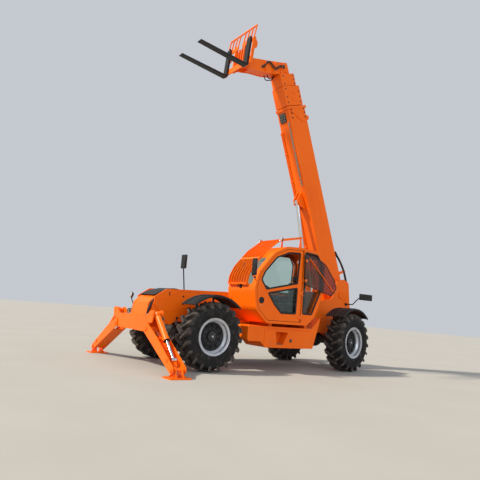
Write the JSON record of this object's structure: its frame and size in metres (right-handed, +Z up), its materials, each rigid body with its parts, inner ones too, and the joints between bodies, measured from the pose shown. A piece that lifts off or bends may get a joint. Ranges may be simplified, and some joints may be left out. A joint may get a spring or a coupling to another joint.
{
  "type": "telehandler",
  "caption": "Four-wheel telescopic handler with raised telescopic boom, pallet forks, side cab with guard and front stabiliser legs.",
  "frame": {"origin": "on the floor, at the middle of the bounding box", "axes": "+X forward, +Y to the left side with the cab, +Z up"},
  "size_m": [6.105, 3.809, 7.4606],
  "materials": {
    "orange_paint": "satin enamel",
    "guard_paint": "satin enamel",
    "black_paint": "satin black enamel",
    "dark_casting": "painted casting",
    "tyre_rubber": "dusty rubber",
    "rim_paint": "silver enamel",
    "chrome_rod": "polished",
    "black_plastic": "moulded",
    "clear_glass": "polished",
    "leaf_glass": "tinted",
    "seat_vinyl": "grained vinyl",
    "lamp_glass": "clear lens"
  },
  "bodies": {
    "chassis": {"chassis_side_left": "orange_paint", "chassis_side_right": "orange_paint", "chassis_floor": "orange_paint", "front_axle": "dark_casting", "rear_axle": "dark_casting", "driveline": "dark_casting", "engine_hood": "orange_paint", "engine_block": "dark_casting", "side_skirt": "orange_paint", "cab_frame": "orange_paint", "cab_glass": "clear_glass", "cab_guard": "guard_paint", "driver_seat": "seat_vinyl", "steering_column": "black_plastic", "window_leaf": "leaf_glass", "nose_cover": "orange_paint", "nose_visor": "black_plastic", "rear_counterweight": "orange_paint", "stabiliser_beam": "orange_paint", "mirrors": "black_plastic", "lamps": "lamp_glass"},
    "door": {"door_panel": "orange_paint", "door_glass": "clear_glass"},
    "boom_base": {"boom_1": "orange_paint", "boom_pipes": "orange_paint"},
    "boom_second": {"boom_2": "orange_paint"},
    "boom_third": {"boom_3": "orange_paint"},
    "boom_tip": {"boom_4": "orange_paint", "neck_hoses": "black_plastic"},
    "carriage": {"fork_carriage": "orange_paint", "forks": "black_paint"},
    "lift_cylinder": {"lift_barrel": "orange_paint"},
    "lift_piston": {"lift_rod": "chrome_rod"},
    "tilt_cylinder": {"tilt_barrel": "orange_paint"},
    "tilt_piston": {"tilt_rod": "chrome_rod"},
    "stabiliser_left": {"stabiliser_leg_left": "orange_paint"},
    "stabiliser_foot_left": {"stabiliser_pad_left": "orange_paint"},
    "stabiliser_cylinder_left": {"stabiliser_barrel_left": "orange_paint"},
    "stabiliser_piston_left": {"stabiliser_rod_left": "chrome_rod"},
    "stabiliser_right": {"stabiliser_leg_right": "orange_paint"},
    "stabiliser_foot_right": {"stabiliser_pad_right": "orange_paint"},
    "stabiliser_cylinder_right": {"stabiliser_barrel_right": "orange_paint"},
    "stabiliser_piston_right": {"stabiliser_rod_right": "chrome_rod"},
    "hub_front_left": {"knuckle_front_left": "dark_casting", "fender_front_left": "black_plastic"},
    "wheel_front_left": {"tyre_front_left": "tyre_rubber", "rim_front_left": "rim_paint"},
    "hub_front_right": {"knuckle_front_right": "dark_casting", "fender_front_right": "black_plastic"},
    "wheel_front_right": {"tyre_front_right": "tyre_rubber", "rim_front_right": "rim_paint"},
    "hub_rear_left": {"knuckle_rear_left": "dark_casting", "fender_rear_left": "black_plastic"},
    "wheel_rear_left": {"tyre_rear_left": "tyre_rubber", "rim_rear_left": "rim_paint"},
    "hub_rear_right": {"knuckle_rear_right": "dark_casting", "fender_rear_right": "black_plastic"},
    "wheel_rear_right": {"tyre_rear_right": "tyre_rubber", "rim_rear_right": "rim_paint"}
  },
  "joints": [
    {"name": "boom_lift", "type": "hinge", "parent": "chassis", "child": "boom_base", "pos_m": [-2.25, 0, 1.68], "axis": [0, -1, 0], "range_deg": [-68.5, 0.5]},
    {"name": "boom_extend_2", "type": "slide", "parent": "boom_base", "child": "boom_second", "axis": [0.3502, 0, 0.9367], "range_m": [0, 3.7]},
    {"name": "boom_extend_3", "type": "slide", "parent": "boom_second", "child": "boom_third", "axis": [0.3502, 0, 0.9367], "range_m": [0, 3.7]},
    {"name": "boom_extend_4", "type": "slide", "parent": "boom_third", "child": "boom_tip", "axis": [0.3502, 0, 0.9367], "range_m": [0, 3.7]},
    {"name": "fork_tilt", "type": "hinge", "parent": "boom_tip", "child": "carriage", "pos_m": [0.89584, 0, 6.69595], "axis": [0, 1, 0], "range_deg": [-70, 57]},
    {"name": "lift_cylinder_swing", "type": "hinge", "parent": "chassis", "child": "lift_cylinder", "pos_m": [-1.62, 0, 1.05], "axis": [0, -1, 0], "range_deg": [-69.98, 1.01]},
    {"name": "lift_piston_slide", "type": "slide", "parent": "lift_cylinder", "child": "lift_piston", "axis": [0.2169, 0, 0.9762], "range_m": [-1.00712, 0.01231]},
    {"name": "tilt_cylinder_swing", "type": "hinge", "parent": "boom_tip", "child": "tilt_cylinder", "pos_m": [-0.25838, 0, 6.89262], "axis": [0, -1, 0], "range_deg": [-1.64, 1.9]},
    {"name": "tilt_piston_slide", "type": "slide", "parent": "tilt_cylinder", "child": "tilt_piston", "axis": [0.9983, 0, 0.059], "range_m": [-0.2827, 0.23112]},
    {"name": "stabiliser_left_swing", "type": "hinge", "parent": "chassis", "child": "stabiliser_left", "pos_m": [2.815, 0.7, 0.69], "axis": [-1, 0, 0], "range_deg": [-76, 0]},
    {"name": "stabiliser_foot_left_swing", "type": "hinge", "parent": "stabiliser_left", "child": "stabiliser_foot_left", "pos_m": [2.815, 1.75954, 0.12663], "axis": [1, 0, 0], "range_deg": [-20, 20]},
    {"name": "stabiliser_cylinder_left_swing", "type": "hinge", "parent": "chassis", "child": "stabiliser_cylinder_left", "pos_m": [2.815, 0.84, 0.945], "axis": [1, 0, 0], "range_deg": [-0.5, 88.67]},
    {"name": "stabiliser_piston_left_slide", "type": "slide", "parent": "stabiliser_cylinder_left", "child": "stabiliser_piston_left", "axis": [0, 0.7391, -0.6736], "range_m": [-0.31535, 0.005]},
    {"name": "stabiliser_right_swing", "type": "hinge", "parent": "chassis", "child": "stabiliser_right", "pos_m": [2.815, -0.7, 0.69], "axis": [1, 0, 0], "range_deg": [-76, 0]},
    {"name": "stabiliser_foot_right_swing", "type": "hinge", "parent": "stabiliser_right", "child": "stabiliser_foot_right", "pos_m": [2.815, -1.75954, 0.12663], "axis": [1, 0, 0], "range_deg": [-20, 20]},
    {"name": "stabiliser_cylinder_right_swing", "type": "hinge", "parent": "chassis", "child": "stabiliser_cylinder_right", "pos_m": [2.815, -0.84, 0.945], "axis": [-1, 0, 0], "range_deg": [-0.5, 88.67]},
    {"name": "stabiliser_piston_right_slide", "type": "slide", "parent": "stabiliser_cylinder_right", "child": "stabiliser_piston_right", "axis": [0, -0.7391, -0.6736], "range_m": [-0.31535, 0.005]},
    {"name": "door_swing", "type": "hinge", "parent": "chassis", "child": "door", "pos_m": [-0.215, 1.216, 1.7], "axis": [0, 0, 1], "range_deg": [0, 80]},
    {"name": "steer_front_left", "type": "hinge", "parent": "chassis", "child": "hub_front_left", "pos_m": [1.8, 0.8, 0.62], "axis": [0, 0, 1], "range_deg": [-35, 35]},
    {"name": "roll_front_left", "type": "hinge", "parent": "hub_front_left", "child": "wheel_front_left", "pos_m": [1.8, 1, 0.62], "axis": [0, 1, 0], "continuous": true},
    {"name": "steer_front_right", "type": "hinge", "parent": "chassis", "child": "hub_front_right", "pos_m": [1.8, -0.8, 0.62], "axis": [0, 0, 1], "range_deg": [-35, 35]},
    {"name": "roll_front_right", "type": "hinge", "parent": "hub_front_right", "child": "wheel_front_right", "pos_m": [1.8, -1, 0.62], "axis": [0, 1, 0], "continuous": true},
    {"name": "steer_rear_left", "type": "hinge", "parent": "chassis", "child": "hub_rear_left", "pos_m": [-1.8, 0.8, 0.62], "axis": [0, 0, 1], "range_deg": [-45, 25]},
    {"name": "roll_rear_left", "type": "hinge", "parent": "hub_rear_left", "child": "wheel_rear_left", "pos_m": [-1.83473, 0.99696, 0.62], "axis": [-0.1736, 0.9848, 0], "continuous": true},
    {"name": "steer_rear_right", "type": "hinge", "parent": "chassis", "child": "hub_rear_right", "pos_m": [-1.8, -0.8, 0.62], "axis": [0, 0, 1], "range_deg": [-45, 25]},
    {"name": "roll_rear_right", "type": "hinge", "parent": "hub_rear_right", "child": "wheel_rear_right", "pos_m": [-1.76527, -0.99696, 0.62], "axis": [-0.1736, 0.9848, 0], "continuous": true}
  ],
  "couplings": [
    {"joint": "boom_extend_3", "follows": "boom_extend_2", "ratio": 1},
    {"joint": "boom_extend_4", "follows": "boom_extend_2", "ratio": 1},
    {"joint": "lift_cylinder_swing", "follows": "boom_lift", "ratio": 1.0143},
    {"joint": "lift_piston_slide", "follows": "boom_lift", "m_per_rad": 0.83821},
    {"joint": "tilt_cylinder_swing", "follows": "fork_tilt", "ratio": -0.02},
    {"joint": "tilt_piston_slide", "follows": "fork_tilt", "m_per_rad": 0.2273},
    {"joint": "stabiliser_cylinder_left_swing", "follows": "stabiliser_left_swing", "ratio": -1.1602},
    {"joint": "stabiliser_piston_left_slide", "follows": "stabiliser_left_swing", "m_per_rad": 0.23397},
    {"joint": "stabiliser_cylinder_right_swing", "follows": "stabiliser_right_swing", "ratio": -1.1602},
    {"joint": "stabiliser_piston_right_slide", "follows": "stabiliser_right_swing", "m_per_rad": 0.23397},
    {"joint": "steer_front_right", "follows": "steer_front_left", "ratio": 1},
    {"joint": "steer_rear_right", "follows": "steer_rear_left", "ratio": 1}
  ]
}
